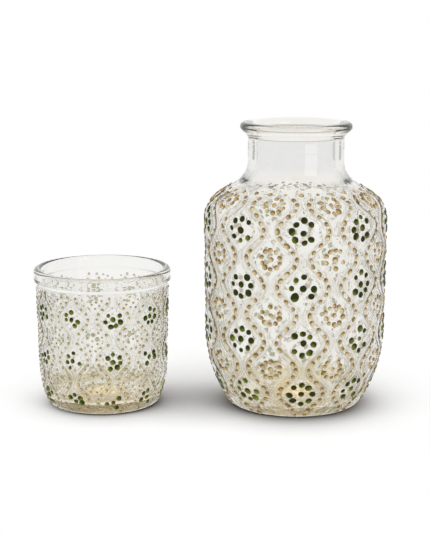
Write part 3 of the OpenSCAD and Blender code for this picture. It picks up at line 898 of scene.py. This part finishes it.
tumblerGold = {
    "shift": halfRow, "rings": [(6, 3.4), (11, 6.4)], "width": 1.5, "rise": 0.35,
    "skip": 0.15, "loose": 0.3, "wobble": 0.2,
}
setDrops("tumbler_gold_flowers", "tumbler", tumblerGold, flowers(rng, tumbler, tumblerGold),
         oliveGold, numbered("tumbler_gold_row", 3))

tumblerLines = {"width": 1.8, "along": 1.1, "rise": 0.35, "skip": 0.12, "loose": 0.3, "wobble": 0.2}
setDrops("tumbler_gold_lines", "tumbler", tumblerLines, lineDrops(rng, tumbler, tumblerLines),
         oliveGold, numbered("tumbler_line_drops", 4))


# studio: pale floor that goes white away from the pieces, white surroundings, soft lamps; in metres
studio = {
    # the floor's colour, and the dark it takes in the painted contact shadow near the pieces
    "floorSize": 6.0, "floorColour": (0.86, 0.86, 0.86, 1), "floorDark": (0.16, 0.16, 0.16, 1),
    "floorLift": 0.25, "middle": -0.05, "contact": 0.06, "contactShade": (0.05, 0.85),
    "whiteFrom": (0.08, 0.17), "ambient": 0.3,
    # darker overhead and on the viewer's side, seen only in reflections: where that begins and is full
    "overhead": 0.65, "overheadFrom": (0.25, 0.85), "viewerSide": 0.7, "viewerFrom": (-0.2, -0.9),
    # flags: how dark, the turns between which they stand, in radians, and how far out the floor shows them
    "flag": 0.52, "flagStart": (0.46, 0.54), "flagEnd": (0.78, 0.68), "flagsFrom": (0.4, 0.6),
}


# dark flags beside the set, seen only through the glass
def flagged(wire, x, y):
    turn = wire.calc("ARCTAN2", wire.calc("ABSOLUTE", x), y)
    return 1.0 - studio["flag"] * turn.ramp(*studio["flagStart"]) * turn.ramp(*studio["flagEnd"])


def layFloor():
    half = studio["floorSize"] / 2
    mesh = bpy.data.meshes.new("table")
    corners = [(-half, -half, 0), (half, -half, 0), (half, half, 0), (-half, half, 0)]
    mesh.from_pydata(corners, [], [(0, 1, 2, 3)])
    floor = bpy.data.objects.new("table", mesh)
    bpy.context.scene.collection.objects.link(floor)
    look = bpy.data.materials.new("white table")
    look.use_nodes = True
    look.node_tree.nodes.clear()
    wire = Wire(look.node_tree)
    split = wire.node("ShaderNodeSeparateXYZ", sockets={0: wire.node("ShaderNodeTexCoord").out("Object")})
    x = split.out("X") - studio["middle"]
    far = wire.calc("SQRT", x * x + split.out("Y") * split.out("Y"))
    # near the pieces the floor's colour darkens by ambient occlusion, a painted contact shadow added to the
    # shadows the lamps cast
    paintedContactShadow = wire.node("ShaderNodeAmbientOcclusion", {"samples": 16}, {
        "Distance": studio["contact"]}, out="AO")
    paintedContactShadow = paintedContactShadow.ramp(*studio["contactShade"])
    tone = paintedContactShadow.tint(studio["floorDark"], studio["floorColour"])
    matt = wire.node("ShaderNodeBsdfDiffuse", sockets={"Color": tone})
    path = wire.node("ShaderNodeLightPath")
    camera = path.out("Is Camera Ray")
    bent = wire.calc("MAXIMUM", path.out("Is Glossy Ray"), path.out("Is Transmission Ray"))
    lift = wire.node("ShaderNodeEmission", sockets={"Strength": camera * paintedContactShadow * studio["floorLift"]})
    near = wire.node("ShaderNodeAddShader", sockets={0: matt, 1: lift})
    white = wire.node("ShaderNodeEmission")
    shown = wire.node("ShaderNodeMixShader", sockets={
        0: far.ramp(*studio["whiteFrom"]) * camera, 1: near, 2: white})
    past = far.ramp(*studio["flagsFrom"]) * path.out("Is Transmission Ray")
    beside = past.mix(1.0, flagged(wire, x, split.out("Y")))
    around = wire.node("ShaderNodeEmission", sockets={"Strength": beside})
    mixed = wire.node("ShaderNodeMixShader", sockets={0: bent, 1: shown, 2: around})
    wire.node("ShaderNodeOutputMaterial", sockets={"Surface": mixed})
    mesh.materials.append(look)


def lightWorld():
    world = bpy.data.worlds.new("studio")
    bpy.context.scene.world = world
    world.use_nodes = True
    world.node_tree.nodes.clear()
    wire = Wire(world.node_tree)
    way = wire.node("ShaderNodeSeparateXYZ", sockets={0: wire.node("ShaderNodeTexCoord").out("Generated")})
    path = wire.node("ShaderNodeLightPath")
    overhead = way.out("Z").ramp(*studio["overheadFrom"], 1.0, studio["overhead"])
    viewerSide = way.out("Y").ramp(*studio["viewerFrom"], 1.0, studio["viewerSide"])
    beside = flagged(wire, way.out("X"), way.out("Y"))
    around = path.out("Is Glossy Ray").mix(beside, overhead * viewerSide)
    seen = wire.calc("MAXIMUM", around, path.out("Is Camera Ray"))
    direct = wire.calc("MAXIMUM", path.out("Is Camera Ray"), path.out("Is Glossy Ray"))
    direct = wire.calc("MAXIMUM", direct, path.out("Is Transmission Ray"))
    level = direct.mix(studio["ambient"], seen)
    sky = wire.node("ShaderNodeBackground", sockets={"Color": (1, 1, 1, 1), "Strength": level})
    wire.node("ShaderNodeOutputWorld", sockets={"Surface": sky})


# a mirrored lamp shows only as a reflection, any other only in the light it gives
def addLamp(name, power, size, place, aim, mirrored=False):
    lamp = bpy.data.lights.new(name, "AREA")
    lamp.energy = power
    lamp.shape = "RECTANGLE"
    lamp.size, lamp.size_y = size
    holder = bpy.data.objects.new(name, lamp)
    holder.location = place
    holder.rotation_euler = (Vector(aim) - Vector(place)).to_track_quat("-Z", "Y").to_euler()
    holder.visible_camera = False
    holder.visible_transmission = False
    holder.visible_glossy = mirrored
    holder.visible_diffuse = not mirrored
    bpy.context.scene.collection.objects.link(holder)


layFloor()
lightWorld()
lamps = {
    "key": {"power": 12.0, "size": (1.5, 1.5), "place": (-0.06, -0.1, 1.25), "aim": (-0.05, 0, 0)},
    "strip": {"power": 3.5, "size": (0.22, 0.7), "place": (0.75, -0.95, 0.55), "aim": (0, 0, 0.12)},
    "fill": {"power": 3.2, "size": (0.8, 0.8), "place": (-1.0, -0.7, 0.6), "aim": (-0.05, 0, 0.08)},
    "card": {"power": 0.55, "size": (0.26, 0.4), "place": (0.27, -0.43, 0.28),
             "aim": (0.009, -0.03, 0.28), "mirrored": True},
}
for name, lamp in lamps.items():
    addLamp(name, **lamp)

# view fitted to the outline of both glasses, in metres, degrees and millimetres of film
view = {"place": (-0.05075, -0.96063, 0.27341), "tilt": 79, "sensor": 36, "lens": 103.24}
camera = bpy.data.cameras.new("camera")
camera.sensor_fit = "VERTICAL"
camera.sensor_height = view["sensor"]
camera.lens = view["lens"]
holder = bpy.data.objects.new("camera", camera)
holder.location = view["place"]
holder.rotation_euler = (math.radians(view["tilt"]), 0, 0)
bpy.context.scene.collection.objects.link(holder)
bpy.context.scene.camera = holder
bpy.context.scene.view_settings.view_transform = "Standard"
print("studio ready")
